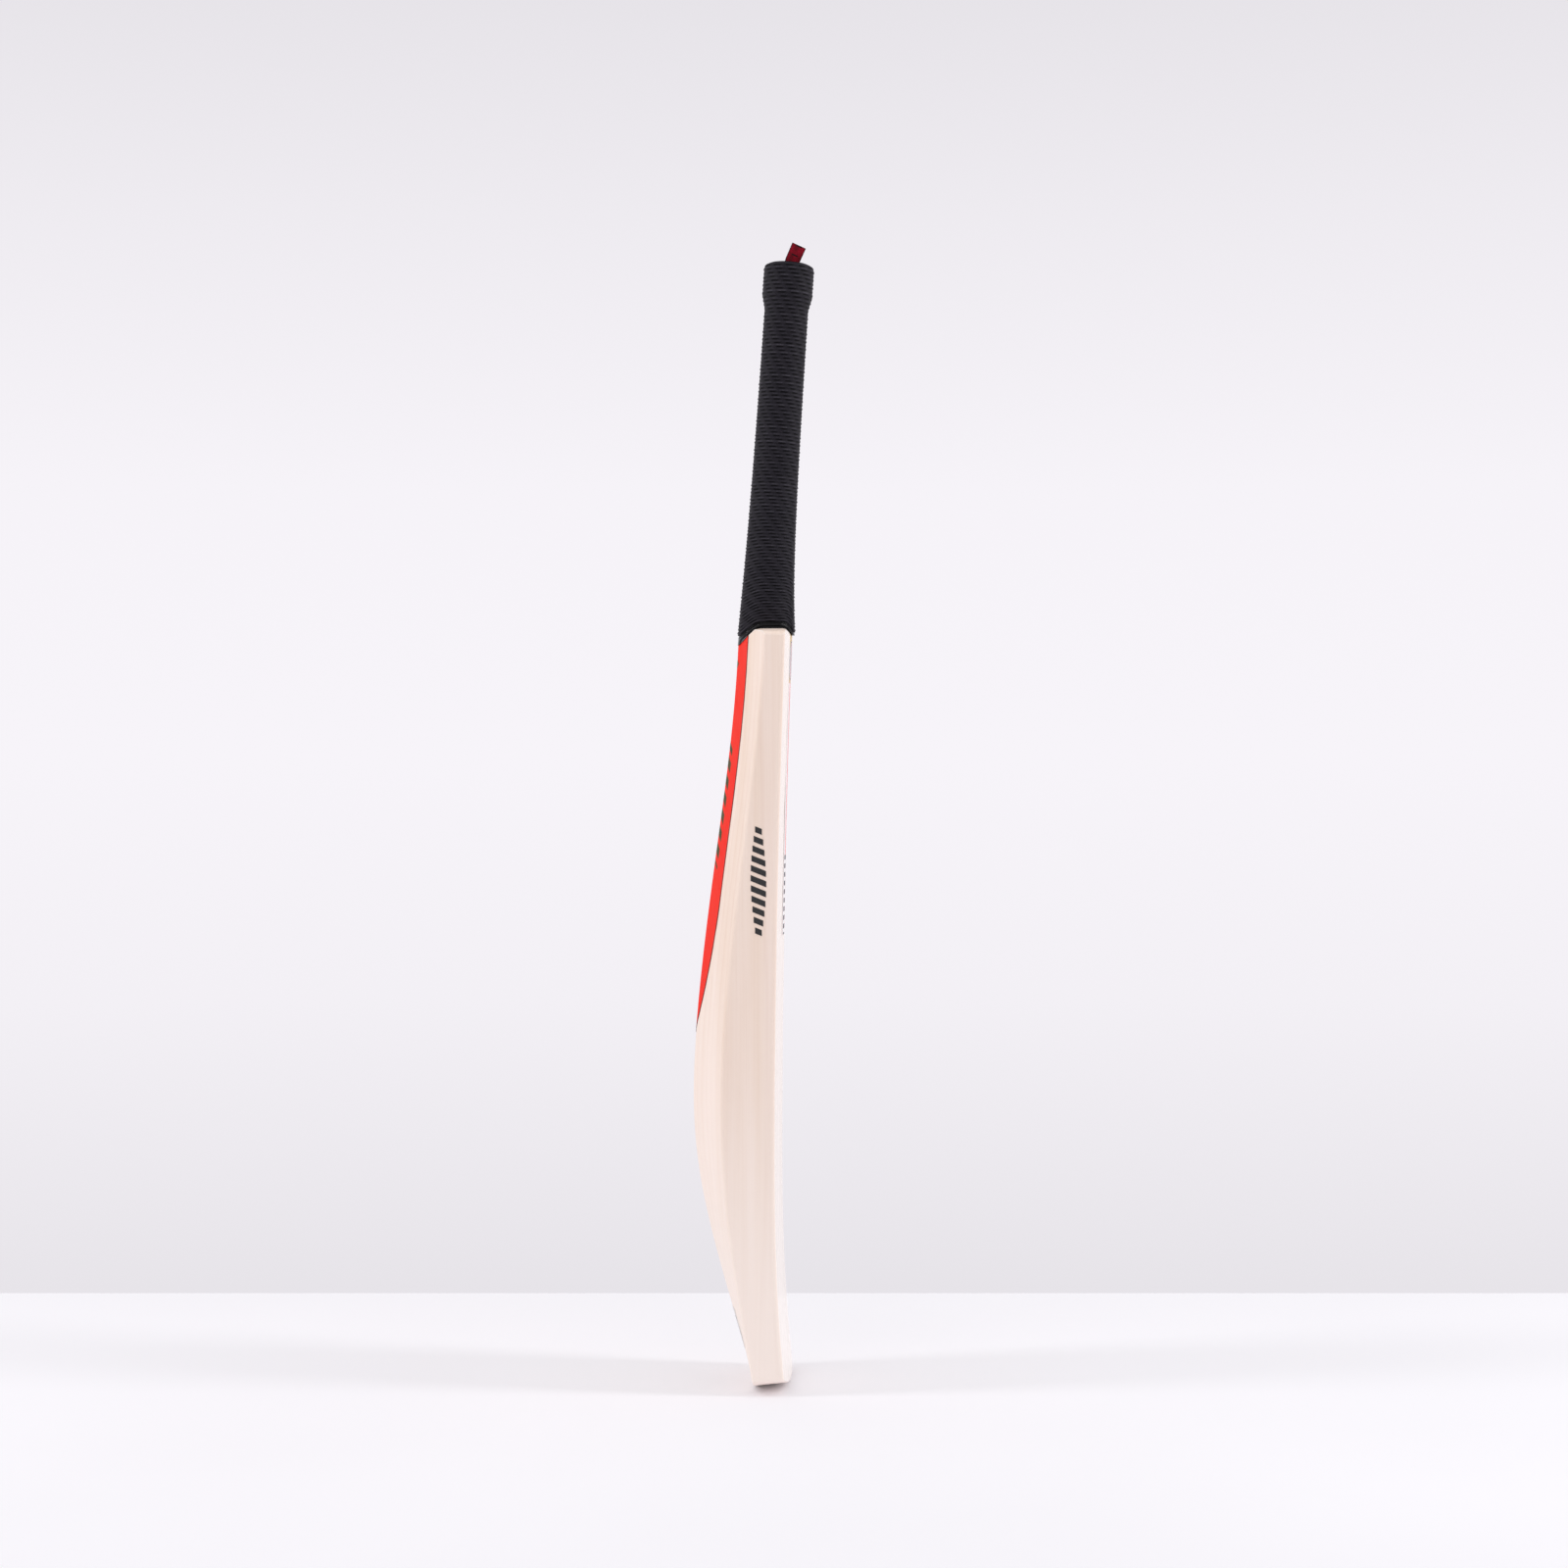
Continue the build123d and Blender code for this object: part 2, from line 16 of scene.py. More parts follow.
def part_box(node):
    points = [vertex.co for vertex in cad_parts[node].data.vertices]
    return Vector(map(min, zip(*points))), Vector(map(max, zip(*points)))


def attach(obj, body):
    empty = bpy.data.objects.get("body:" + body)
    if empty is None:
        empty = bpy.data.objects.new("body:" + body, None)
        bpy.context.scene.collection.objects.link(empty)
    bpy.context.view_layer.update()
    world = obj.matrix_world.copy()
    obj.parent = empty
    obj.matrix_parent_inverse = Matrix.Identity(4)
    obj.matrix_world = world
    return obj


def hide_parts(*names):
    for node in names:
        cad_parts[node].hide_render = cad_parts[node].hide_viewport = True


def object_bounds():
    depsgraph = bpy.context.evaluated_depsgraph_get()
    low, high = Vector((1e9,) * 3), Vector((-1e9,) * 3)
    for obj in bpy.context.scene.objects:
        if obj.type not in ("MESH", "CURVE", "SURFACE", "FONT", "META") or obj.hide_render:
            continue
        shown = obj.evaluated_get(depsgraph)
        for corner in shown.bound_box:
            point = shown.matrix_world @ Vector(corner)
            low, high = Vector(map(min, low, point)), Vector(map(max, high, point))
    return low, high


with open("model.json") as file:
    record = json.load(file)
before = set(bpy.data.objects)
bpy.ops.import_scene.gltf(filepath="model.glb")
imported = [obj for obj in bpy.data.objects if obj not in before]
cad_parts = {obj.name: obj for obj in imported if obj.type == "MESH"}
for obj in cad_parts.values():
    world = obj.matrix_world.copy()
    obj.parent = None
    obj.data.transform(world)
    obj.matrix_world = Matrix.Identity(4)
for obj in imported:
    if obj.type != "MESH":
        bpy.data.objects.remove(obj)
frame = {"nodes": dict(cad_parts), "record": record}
cad_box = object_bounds()
MM = 0.001

# ---- Sizes that the solids have --------------------------------------------------------------
HANDLE_LENGTH = 276.8 * MM       # crest of the shoulders to the rim of the grip
HOLD_DISTANCE = 150 * MM         # from the crest to the origin
NECK_DEPTH = 42 * MM             # of the oval at the crest, which fades into a circle above
NECK_WIDTH = 36.4 * MM
NECK_FADE = 80 * MM
NECK_SHIFT = 1.4 * MM            # of the oval's middle towards the face, which fades as well
NECK_SHIFT_FADE = 32 * MM
GRIP_DIAMETER = 32.6 * MM
GRIP_WALL = 2.4 * MM
KNOB_DIAMETER = 37.8 * MM
KNOB_LENGTH = 35.5 * MM
KNOB_FLARE = 11 * MM
KNOB_RIM_ROUND = 4.5 * MM
CANE_INSET = 3.3 * MM            # from the outside of the grip to the cane
RIBBON_WIDTH = 11 * MM
RIBBON_STAND = 13.5 * MM         # how much shows above the rim
RIBBON_TUCK = 12 * MM            # how much goes in beside the cane
RIBBON_LEAN = math.radians(20)   # towards the face
RIBBON_TURN = math.radians(14)   # round from the left edge towards the face
RIBBON_OFFSET = -0.6 * MM        # of its middle, towards the face
BACK_LABEL_TAPER = 104 * MM      # length of its pointed end
LATHS_ACROSS = 4

# ---- Places worked out from the frame --------------------------------------------------------
FLOOR = cad_box[0].z
CREST_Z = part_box("blade")[1].z
MOUNTS = {mount["name"]: mount for mount in frame["record"]["mounts"]}
ALONG = Vector(MOUNTS["grip_hold"]["axis"]).normalized()
ACROSS = Vector((1, 0, 0))
DEEP = ALONG.cross(ACROSS)
CREST = -ALONG * HOLD_DISTANCE


def spans(node):
    """A label's half width, its lowest and highest z, and the z of its middle."""
    low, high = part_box(node)
    return high.x, low.z, high.z, (low.z + high.z) / 2


# ---- Camera and stage ------------------------------------------------------------------------
VIEW_TURN = math.radians(3)      # how far the camera stands round from the edge to the face
CAMERA_DISTANCE = 2.0
CAMERA_HEIGHT = 0.452            # above the floor; the camera is level
VIEW_WIDTH = 1.1873              # what the picture spans at the bat
AIM = Vector((0, -4.4 * MM, 0))  # the middle of the picture, but for its height
FLOOR_BEHIND = 0.345             # the floor ends this far behind the bat
FLOOR_REACH = 4.0                # and this far from it on the other sides
FILL = 0.785                     # strength of the even light from all round
LEFT_WATTS = 7.2
RIGHT_WATTS = 8.6
LAMP_AHEAD = math.radians(10)    # the lamps stand this far round to the camera's side
LAMP_DISTANCE = 1.5
LAMP_HEIGHT = 1.35               # of their middle, above the floor
LAMP_AIM = 0.43                  # they point at the bat at this height
LAMP_WIDE = 0.28
LAMP_TALL = 1.6
GROUND_LOW = -0.2                # the ground's shades run between these sines of the angle
GROUND_HIGH = 0.3                # at which the camera looks down or up at it

TO_CAMERA = Vector((-math.cos(VIEW_TURN), -math.sin(VIEW_TURN), 0))
TO_RIGHT = Vector((math.sin(VIEW_TURN), -math.cos(VIEW_TURN), 0))


def tone(red, green, blue):
    """A colour given as it should look on the screen, 0 to 255."""
    def linear(value):
        value /= 255
        return value / 12.92 if value <= 0.04045 else ((value + 0.055) / 1.055) ** 2.4
    return (linear(red), linear(green), linear(blue), 1.0)


def smooth(value):
    """A smooth step from 0 to 1."""
    value = min(max(value, 0.0), 1.0)
    return value * value * (3 - 2 * value)


WHITE = tone(255, 255, 255)
PRINTED_RED = tone(238, 66, 74)


# ---- Helpers for materials -------------------------------------------------------------------
class Nodes:
    """A node tree while its nodes are being added."""

    def __init__(self, tree):
        self.tree = tree

    def node(self, kind, inputs=None, **settings):
        """A new node, each of whose inputs is linked to a socket or set to a value."""
        made = self.tree.nodes.new(kind)
        for key, value in settings.items():
            setattr(made, key, value)
        for key, value in (inputs or {}).items():
            if isinstance(value, bpy.types.NodeSocket):
                self.tree.links.new(value, made.inputs[key])
            else:
                made.inputs[key].default_value = value
        return made

    def math(self, operation, *values):
        inputs = dict(enumerate(values))
        return self.node("ShaderNodeMath", inputs, operation=operation).outputs[0]

    def ramp(self, value, stops):
        """Colours that blend into each other at these positions."""
        made = self.node("ShaderNodeValToRGB", {0: value})
        elements = made.color_ramp.elements
        while len(elements) < len(stops):
            elements.new(0.5)
        for element, (position, colour) in zip(elements, stops):
            element.position = position
            element.color = colour
        return made.outputs[0]


class Finish(Nodes):
    """One material while its nodes are being added. A mask is 1 inside a mark and 0 outside."""

    def __init__(self, name, roughness, **sockets):
        self.material = bpy.data.materials.new(name)
        self.material.use_nodes = True
        super().__init__(self.material.node_tree)
        self.shader = self.tree.nodes["Principled BSDF"]
        self.shader.inputs["Roughness"].default_value = roughness
        for socket, value in sockets.items():
            self.shader.inputs[socket.replace("_", " ")].default_value = value

    def below(self, value, limit):
        """A mask of where a value is less than this."""
        return self.math("LESS_THAN", value, limit)

    def near(self, value, centre, reach):
        """A mask of where a value is within this reach of the centre."""
        return self.math("COMPARE", value, centre, reach)

    def both(self, first, second):
        return self.math("MULTIPLY", first, second)

    def either(self, first, second):
        return self.math("MAXIMUM", first, second)

    def cycle(self, value, pitch):
        """How far a value is through its pitch, from 0 to 1 and over again."""
        return self.math("FRACT", self.math("DIVIDE", value, pitch))

    def bars(self, value, pitch, half):
        """A mask of bars this far apart, with half a bar given as a share of the pitch."""
        return self.near(self.cycle(value, pitch), 0.5, half)

    def place(self):
        """The three coordinates of a point on the surface, in the part's frame."""
        coords = self.node("ShaderNodeTexCoord").outputs["Object"]
        parts = self.node("ShaderNodeSeparateXYZ", {0: coords})
        return parts.outputs[0], parts.outputs[1], parts.outputs[2]

    def stretched(self, x, y, z):
        """Coordinates for a texture with about this many grains a metre in x, y and z."""
        coords = self.node("ShaderNodeTexCoord").outputs["Object"]
        return self.node(
            "ShaderNodeVectorMath", {0: coords, 1: (x, y, z)}, operation="MULTIPLY",
        ).outputs[0]

    def noise(self, vector, scale=1.0, detail=2.0, roughness=0.5):
        return self.node("ShaderNodeTexNoise", {
            "Vector": vector, "Scale": scale, "Detail": detail, "Roughness": roughness,
        }).outputs[0]

    def between(self, value, low, high, out_low=0.0, out_high=1.0):
        """A value mapped smoothly from one range to another and held at its ends."""
        return self.node("ShaderNodeMapRange", {
            "Value": value, "From Min": low, "From Max": high,
            "To Min": out_low, "To Max": out_high,
        }, interpolation_type="SMOOTHSTEP").outputs[0]

    def mix(self, factor, first, second, blend="MIX"):
        """Two colours mixed; the node keeps its colour sockets at these places."""
        return self.node(
            "ShaderNodeMix", {0: factor, 6: first, 7: second}, data_type="RGBA", blend_type=blend,
        ).outputs[2]

    def facing(self, way):
        """How squarely the surface looks this way: 1 when it does, 0 or less when it doesn't."""
        normal = self.node("ShaderNodeNewGeometry").outputs["Normal"]
        return self.node(
            "ShaderNodeVectorMath", {0: normal, 1: way}, operation="DOT_PRODUCT",
        ).outputs["Value"]

    def corner_highlight_mask(self, radius):
        """1 along the solid's corners, where a highlight is painted, and 0 away from them."""
        rounded = self.node("ShaderNodeBevel", {"Radius": radius}, samples=6).outputs[0]
        return self.between(self.facing(rounded), 0.93, 0.999, 1.0, 0.0)

    def colour(self, socket):
        self.tree.links.new(socket, self.shader.inputs["Base Color"])

    def rough(self, socket):
        self.tree.links.new(socket, self.shader.inputs["Roughness"])

    def bump(self, height, distance, strength=1.0):
        made = self.node("ShaderNodeBump", {
            "Strength": strength, "Distance": distance, "Height": height,
        })
        self.tree.links.new(made.outputs[0], self.shader.inputs["Normal"])


# ---- Woods and rubbers -----------------------------------------------------------------------
GRAIN_PITCH = 8.8 * MM           # between the willow's growth lines
GRAIN_SLANT = 0.22               # how much they lean across the edges
GRAIN_SWAY = 0.034               # how far they wander along the blade
PALE_HEIGHT = 0.36               # the wood grows paler below this height
PALE_SHARE = 0.7
FACE_SHEEN_PALE = 0.38              # how much paler the pressed face is painted: a painted sheen
PRESSED_GLOSS = 0.26             # and how much less rough
CORNER_HIGHLIGHT_WIDTH = 1.0 * MM            # of the painted highlight along the blade's corners


def willow():
    """Pale pressed willow: straight grain on face and back, soft broad figure on the edges, a
    painted sheen on the face and a painted highlight along the corners.
    """
    made = Finish("willow", 0.46, Specular_IOR_Level=0.25)
    x, y, z = made.place()
    drift = made.noise(made.stretched(7, 9, 1.7), detail=2.0, roughness=0.45)
    sway = made.math("MULTIPLY", made.math("SUBTRACT", drift, 0.5), GRAIN_SWAY)
    slant = made.math("MULTIPLY", y, GRAIN_SLANT)
    ring = made.math("ADD", made.math("ADD", x, slant), sway)
    grain = made.ramp(made.cycle(ring, GRAIN_PITCH), (
        (0.00, tone(249, 229, 216)),
        (0.50, tone(247, 226, 213)),
        (0.82, tone(242, 218, 203)),
        (0.92, tone(236, 209, 193)),
        (0.97, tone(245, 223, 209)),
        (1.00, tone(249, 229, 216)),
    ))
    broad = made.noise(made.stretched(16, 60, 2.2), detail=3.0)
    tint = made.ramp(broad, ((0.34, tone(239, 214, 195)), (0.66, tone(253, 236, 227))))
    base = made.mix(0.6, grain, tint)
    fibre = made.noise(made.stretched(700, 700, 9), detail=3.0, roughness=0.6)
    streak = made.ramp(fibre, ((0.32, tone(236, 224, 214)), (0.62, WHITE)))
    base = made.mix(0.16, base, streak, "MULTIPLY")
    low = made.between(z, FLOOR, FLOOR + PALE_HEIGHT, 1.0, 0.0)
    base = made.mix(made.math("MULTIPLY", low, PALE_SHARE), base, tone(255, 243, 236))
    # Painted sheen: the face, which looks towards -Y, is mixed towards near white; its lower
    # roughness below is the pressed face's own gloss.
    pressed = made.between(made.facing((0, -1, 0)), 0.80, 0.95)
    base = made.mix(made.math("MULTIPLY", pressed, FACE_SHEEN_PALE), base, tone(255, 252, 252))
    # Painted highlight: a pale line along the blade's corners.
    made.colour(made.mix(made.corner_highlight_mask(CORNER_HIGHLIGHT_WIDTH), base, tone(255, 248, 243)))
    sanded = made.between(fibre, 0.3, 0.7, 0.42, 0.50)
    made.rough(made.math("SUBTRACT", sanded, made.math("MULTIPLY", pressed, PRESSED_GLOSS)))
    made.bump(fibre, 0.04 * MM, 0.4)
    return made.material


def cane():
    """Manau cane: long fibres, with darker pores on the sawn ends."""
    made = Finish("cane", 0.5, Specular_IOR_Level=0.3)
    fibre = made.noise(made.stretched(1900, 1900, 14), detail=3.0)
    pores = made.node("ShaderNodeTexVoronoi", {
        "Vector": made.stretched(1000, 1000, 40), "Scale": 1.6,
    }).outputs["Distance"]
    base = made.ramp(fibre, ((0.3, tone(200, 168, 118)), (0.7, tone(228, 201, 155))))
    around = made.between(pores, 0.08, 0.30)
    made.colour(made.mix(around, tone(128, 92, 54), base))
    made.bump(fibre, 0.1 * MM, 0.5)
    return made.material


def spring_rubber():
    """Plain rubber sheet with a faint bloom."""
    made = Finish("spring_rubber", 0.7)
    bloom = made.noise(made.stretched(220, 220, 220), detail=4.0)
    made.colour(made.ramp(bloom, ((0.3, tone(34, 33, 34)), (0.75, tone(62, 60, 60)))))
    made.bump(bloom, 0.05 * MM, 0.4)
    return made.material


def twine():
    """Waxed twine in close turns round the cane."""
    made = Finish("twine", 0.55, Sheen_Weight=0.1)
    wave = made.node("ShaderNodeTexWave", {
        "Vector": made.stretched(0, 60, 1000), "Scale": 0.32, "Distortion": 0.3,
    }, bands_direction="Z").outputs[1]
    made.colour(made.ramp(wave, ((0.0, tone(120, 100, 70)), (0.5, tone(218, 204, 168)))))
    made.bump(wave, 0.4 * MM)
    return made.material


def grip_rubber():
    """Matt charcoal rubber, with painted shade down in the slots under the ribs and a painted
    highlight on the ribs' tops.
    """
    made = Finish("grip_rubber", 0.5, Specular_IOR_Level=0.11)
    relief = made.node("ShaderNodeAttribute", attribute_name="relief").outputs["Fac"]
    speck = made.noise(made.stretched(1300, 1300, 1300), detail=3.0)
    cloud = made.noise(made.stretched(70, 70, 70), detail=2.0)
    # Painted shade and highlight: the colour follows the relief, near black down in the slots and
    # lightest on the ribs' tops.
    base = made.ramp(relief, (
        (0.00, tone(3, 2, 4)),
        (0.44, tone(14, 12, 17)),
        (0.60, tone(36, 33, 40)),
        (0.78, tone(56, 53, 61)),
        (1.00, tone(84, 80, 89)),
    ))
    dust = made.ramp(cloud, ((0.3, tone(225, 225, 228)), (0.7, WHITE)))
    chalk = made.ramp(speck, ((0.42, tone(205, 205, 205)), (0.62, WHITE)))
    base = made.mix(1.0, base, dust, "MULTIPLY")
    made.colour(made.mix(1.0, base, chalk, "MULTIPLY"))
    made.rough(made.between(speck, 0.3, 0.7, 0.44, 0.60))
    made.bump(speck, 0.12 * MM, 0.6)
    return made.material


def gloss_tape():
    """Glossy black tape, a little uneven where its turns lap."""
    made = Finish("neck_tape", 0.12, Specular_IOR_Level=0.2)
    laps = made.noise(made.stretched(60, 60, 420), detail=2.0)
    made.colour(made.ramp(laps, ((0.3, tone(5, 4, 6)), (0.7, tone(12, 11, 14)))))
    made.rough(made.between(laps, 0.3, 0.7, 0.10, 0.18))
    made.bump(laps, 0.3 * MM, 0.4)
    return made.material


# ---- Printed films and the marks on them -----------------------------------------------------
# A size called half is that of half a mark. Where it belongs to bars in a row, it is a share of
# their pitch. An inset is measured inwards from the label's rim.
RIM_LINE_SOLID = 0.7 * MM        # the red label's fine outline fades out between these insets
RIM_LINE_GONE = 1.1 * MM
CHEVRON_PITCH = 13 * MM
CHEVRON_SLOPE = 0.9              # fall of its arms away from the spine
CHEVRON_HALF = 0.30
CHEVRON_REACH = 8.5 * MM         # how far its arms reach to either side
CHEVRONS_START = 6.4             # in pitches below the crest
CHEVRONS_STOP = 13.4
DIAMOND_DROP = 26 * MM           # of its centre below the crest
DIAMOND_REACH = 5.5 * MM

STRIPE_LENGTH = 130 * MM         # the face label's stripe, from the label's top
STRIPE_HALF = 3.2 * MM
FRAME_INSET = 2.0 * MM
FRAME_HALF = 0.35 * MM
LADDER_PITCH = 6.5 * MM
LADDER_BAR = 0.55                # a whole bar, as a share of the pitch
LADDER_REACH = 9 * MM

RING_INSET = 0.9 * MM            # the badge's outer and inner ring
RING_HALF = 0.5 * MM
INNER_RING_INSET = 3.0 * MM
INNER_RING_HALF = 0.25 * MM
HATCH_INSET = 4.2 * MM
HATCH_PITCH = 2.6 * MM
HATCH_SLOPE = 0.8
HATCH_HALF = 0.22
BADGE_STRIPE_HALF = 1.6 * MM

PANEL_REACH = 7 * MM             # the toe label's dark panel, which starts at the label's foot
PANEL_TOP = 8 * MM               # above the label's middle
TOE_BAR_PITCH = 6 * MM
TOE_BAR_HALF = 0.25
TOE_BAR_REACH = 4 * MM
TOE_BARS_REACH = 9 * MM          # how far the row of bars reaches above and below the middle

THREAD_PITCH = 0.34 * MM         # the ribbon's weave, across and along
WEFT_PITCH = 0.42 * MM
SELVEDGE = 0.5 * MM
CROSS_BAR_PITCH = 7.5 * MM
CROSS_BAR_HALF = 0.07
CROSS_BAR_REACH = 2.4 * MM


def film_surface(made):
    """The faint orange peel of a printed film, with the wood's fibres just showing through."""
    fibre = made.noise(made.stretched(900, 900, 12), detail=2.0)
    made.rough(made.between(fibre, 0.3, 0.7, 0.50, 0.60))
    made.bump(fibre, 0.03 * MM, 0.5)


def back_label_rim(made, half, tip, side, z):
    """How far a point lies inside the outline of the back label, which tapers in two arcs."""
    radius = (half**2 + BACK_LABEL_TAPER**2) / (2 * half)
    fall = made.math("MAXIMUM", made.math("SUBTRACT", tip + BACK_LABEL_TAPER, z), 0.0)
    bow = made.math("SQRT", made.math(
        "SUBTRACT", radius**2, made.math("MULTIPLY", fall, fall),
    ))
    return made.math("SUBTRACT", made.math("ADD", bow, half - radius), side)


def red_film():
    """Red label with a fine dark outline, and olive chevrons and a diamond on the spine."""
    half, tip, _, _ = spans("back_label")
    made = Finish("red_label", 0.55, Specular_IOR_Level=0.12)
    x, _, z = made.place()
    side = made.math("ABSOLUTE", x)
    drop = made.math("SUBTRACT", CREST_Z, z)
    rim = back_label_rim(made, half, tip, side, z)
    line = made.between(rim, RIM_LINE_SOLID, RIM_LINE_GONE, 1.0, 0.0)

    rise = made.math("SUBTRACT", drop, made.math("MULTIPLY", side, CHEVRON_SLOPE))
    bars = made.bars(rise, CHEVRON_PITCH, CHEVRON_HALF)
    arms = made.both(bars, made.below(side, CHEVRON_REACH))
    start = made.math("GREATER_THAN", rise, CHEVRONS_START * CHEVRON_PITCH)
    stop = made.below(rise, CHEVRONS_STOP * CHEVRON_PITCH)
    chevrons = made.both(arms, made.both(start, stop))
    off_centre = made.math("ABSOLUTE", made.math("SUBTRACT", drop, DIAMOND_DROP))
    diamond = made.below(made.math("ADD", off_centre, side), DIAMOND_REACH)

    shade = made.noise(made.stretched(40, 40, 10), detail=2.0)
    red = made.ramp(shade, ((0.3, tone(246, 38, 20)), (0.7, tone(249, 46, 26))))
    printed = made.mix(made.either(chevrons, diamond), red, tone(78, 74, 42))
    made.colour(made.mix(line, printed, tone(96, 26, 20)))
    film_surface(made)
    return made.material


def face_film():
    """White face label: a red centre stripe, with a ladder of grey bars lower down."""
    half, _, top, _ = spans("face_label")
    made = Finish("face_label", 0.42, Specular_IOR_Level=0.25)
    x, _, z = made.place()
    side = made.math("ABSOLUTE", x)
    drop = made.math("SUBTRACT", top, z)
    upper = made.below(drop, STRIPE_LENGTH)
    lower = made.math("SUBTRACT", 1.0, upper)
    stripe = made.both(made.below(side, STRIPE_HALF), upper)
    frame_line = made.near(made.math("SUBTRACT", half, side), FRAME_INSET, FRAME_HALF)
    bars = made.below(made.cycle(drop, LADDER_PITCH), LADDER_BAR)
    ladder = made.both(made.both(bars, made.below(side, LADDER_REACH)), lower)

    paper = made.noise(made.stretched(50, 50, 12), detail=2.0)
    white = made.ramp(paper, ((0.3, tone(241, 239, 240)), (0.7, tone(248, 246, 247))))
    printed = made.mix(stripe, white, PRINTED_RED)
    printed = made.mix(ladder, printed, tone(92, 92, 98))
    made.colour(made.mix(frame_line, printed, PRINTED_RED))
    film_surface(made)
    return made.material


def badge_film():
    """Round silvery badge: dark rings and a grey hatch either side of a red stripe."""
    radius, _, _, middle = spans("face_badge")
    made = Finish("badge", 0.35, Specular_IOR_Level=0.4)
    x, _, z = made.place()
    up = made.math("SUBTRACT", z, middle)
    distance = made.math("SQRT", made.math(
        "ADD", made.math("MULTIPLY", x, x), made.math("MULTIPLY", up, up),
    ))
    ring = made.near(distance, radius - RING_INSET, RING_HALF)
    inner = made.near(distance, radius - INNER_RING_INSET, INNER_RING_HALF)
    slanted = made.math("ADD", up, made.math("MULTIPLY", x, HATCH_SLOPE))
    bars = made.bars(slanted, HATCH_PITCH, HATCH_HALF)
    hatch = made.both(bars, made.below(distance, radius - HATCH_INSET))
    stripe = made.below(made.math("ABSOLUTE", x), BADGE_STRIPE_HALF)

    sparkle = made.noise(made.stretched(300, 300, 300), detail=2.0)
    silver = made.ramp(sparkle, ((0.3, tone(214, 214, 217)), (0.7, tone(232, 231, 234))))
    printed = made.mix(hatch, silver, tone(150, 151, 155))
    printed = made.mix(stripe, printed, PRINTED_RED)
    made.colour(made.mix(made.either(ring, inner), printed, tone(70, 70, 76)))
    film_surface(made)
    return made.material


def black_vinyl():
    """Satin black vinyl of the bars on the edges."""
    made = Finish("black_mark", 0.4)
    peel = made.noise(made.stretched(900, 900, 900), detail=2.0)
    made.colour(made.ramp(peel, ((0.3, tone(18, 18, 19)), (0.7, tone(34, 34, 35)))))
    made.bump(peel, 0.03 * MM, 0.5)
    return made.material


def toe_film():
    """Small pale label low on the back, with pale bars on a dark panel."""
    _, _, _, middle = spans("toe_label")
    made = Finish("toe_label", 0.42, Specular_IOR_Level=0.3)
    x, _, z = made.place()
    side = made.math("ABSOLUTE", x)
    up = made.math("SUBTRACT", z, middle)
    panel = made.both(made.below(side, PANEL_REACH), made.below(up, PANEL_TOP))
    bars = made.bars(up, TOE_BAR_PITCH, TOE_BAR_HALF)
    inside = made.both(
        made.below(side, TOE_BAR_REACH), made.below(made.math("ABSOLUTE", up), TOE_BARS_REACH),
    )
    peel = made.noise(made.stretched(200, 200, 60), detail=2.0)
    pale = made.ramp(peel, ((0.3, tone(222, 217, 214)), (0.7, tone(234, 229, 226))))
    base = made.mix(panel, pale, tone(78, 77, 82))
    made.colour(made.mix(made.both(bars, inside), base, tone(206, 202, 200)))
    film_surface(made)
    return made.material


def ribbon_cloth():
    """Dark red woven ribbon with a black selvedge and small black cross bars."""
    made = Finish("ribbon", 0.7, Specular_IOR_Level=0.1, Sheen_Weight=0.05)
    uv = made.node("ShaderNodeUVMap", uv_map="cloth").outputs[0]
    parts = made.node("ShaderNodeSeparateXYZ", {0: uv})
    across, length = parts.outputs[0], parts.outputs[1]
    warp = made.math("SINE", made.math("MULTIPLY", across, 2 * math.pi / THREAD_PITCH))
    weft = made.math("SINE", made.math("MULTIPLY", length, 2 * math.pi / WEFT_PITCH))
    weave = made.math("MULTIPLY", warp, weft)
    level = made.between(weave, -1.0, 1.0)
    worn = made.noise(made.stretched(160, 160, 160), detail=2.0)
    thread = made.mix(level, tone(112, 0, 22), tone(158, 2, 34))
    shade = made.ramp(worn, ((0.36, tone(172, 172, 172)), (0.64, WHITE)))
    red = made.mix(1.0, thread, shade, "MULTIPLY")
    off_middle = made.math("ABSOLUTE", made.math("SUBTRACT", across, RIBBON_WIDTH / 2))
    selvedge = made.math("GREATER_THAN", off_middle, RIBBON_WIDTH / 2 - SELVEDGE)
    bars = made.bars(length, CROSS_BAR_PITCH, CROSS_BAR_HALF)
    cross = made.both(bars, made.below(off_middle, CROSS_BAR_REACH))
    made.colour(made.mix(made.either(selvedge, cross), red, tone(22, 3, 9)))
    made.bump(weave, 0.1 * MM, 0.7)
    return made.material


# ---- Grip and tape ---------------------------------------------------------------------------
ROWS = 102                       # rings of ribs, from the hem to the rim
ROW_SPREAD = 0.1                 # they are this share closer at the hem, and wider at the rim
ROW_STEPS = (0.0, 0.12, 0.24, 0.42, 0.60, 0.80)    # where a row has points, going up it
SLOT_AT = 0.22                   # the middle of the slot, and of the rib above it, in a row
SLOT_REACH = 0.24                # how far each reaches to either side
RIB_AT = 0.62
RIB_REACH = 0.36
DASHES = 12                      # slots under each rib
DASH_SHARE = 0.74                # how much of a ring the slots fill
DASH_END = 0.14                  # a slot's end takes this share of the pitch
DASH_TAPER = 0.45                # a slot grows this much shallower towards its far end
DASH_SHIFT = 0.22                # each ring's slots are moved on by this share of the pitch
DASH_VARIES = 0.3                # moulded slots differ in length and depth by up to this share
RIB_VARIES = 0.3                 # and the ribs in height
RIB_HEIGHT = 0.65 * MM
SLOT_DEPTH = 0.9 * MM
RELIEF = RIB_HEIGHT + SLOT_DEPTH
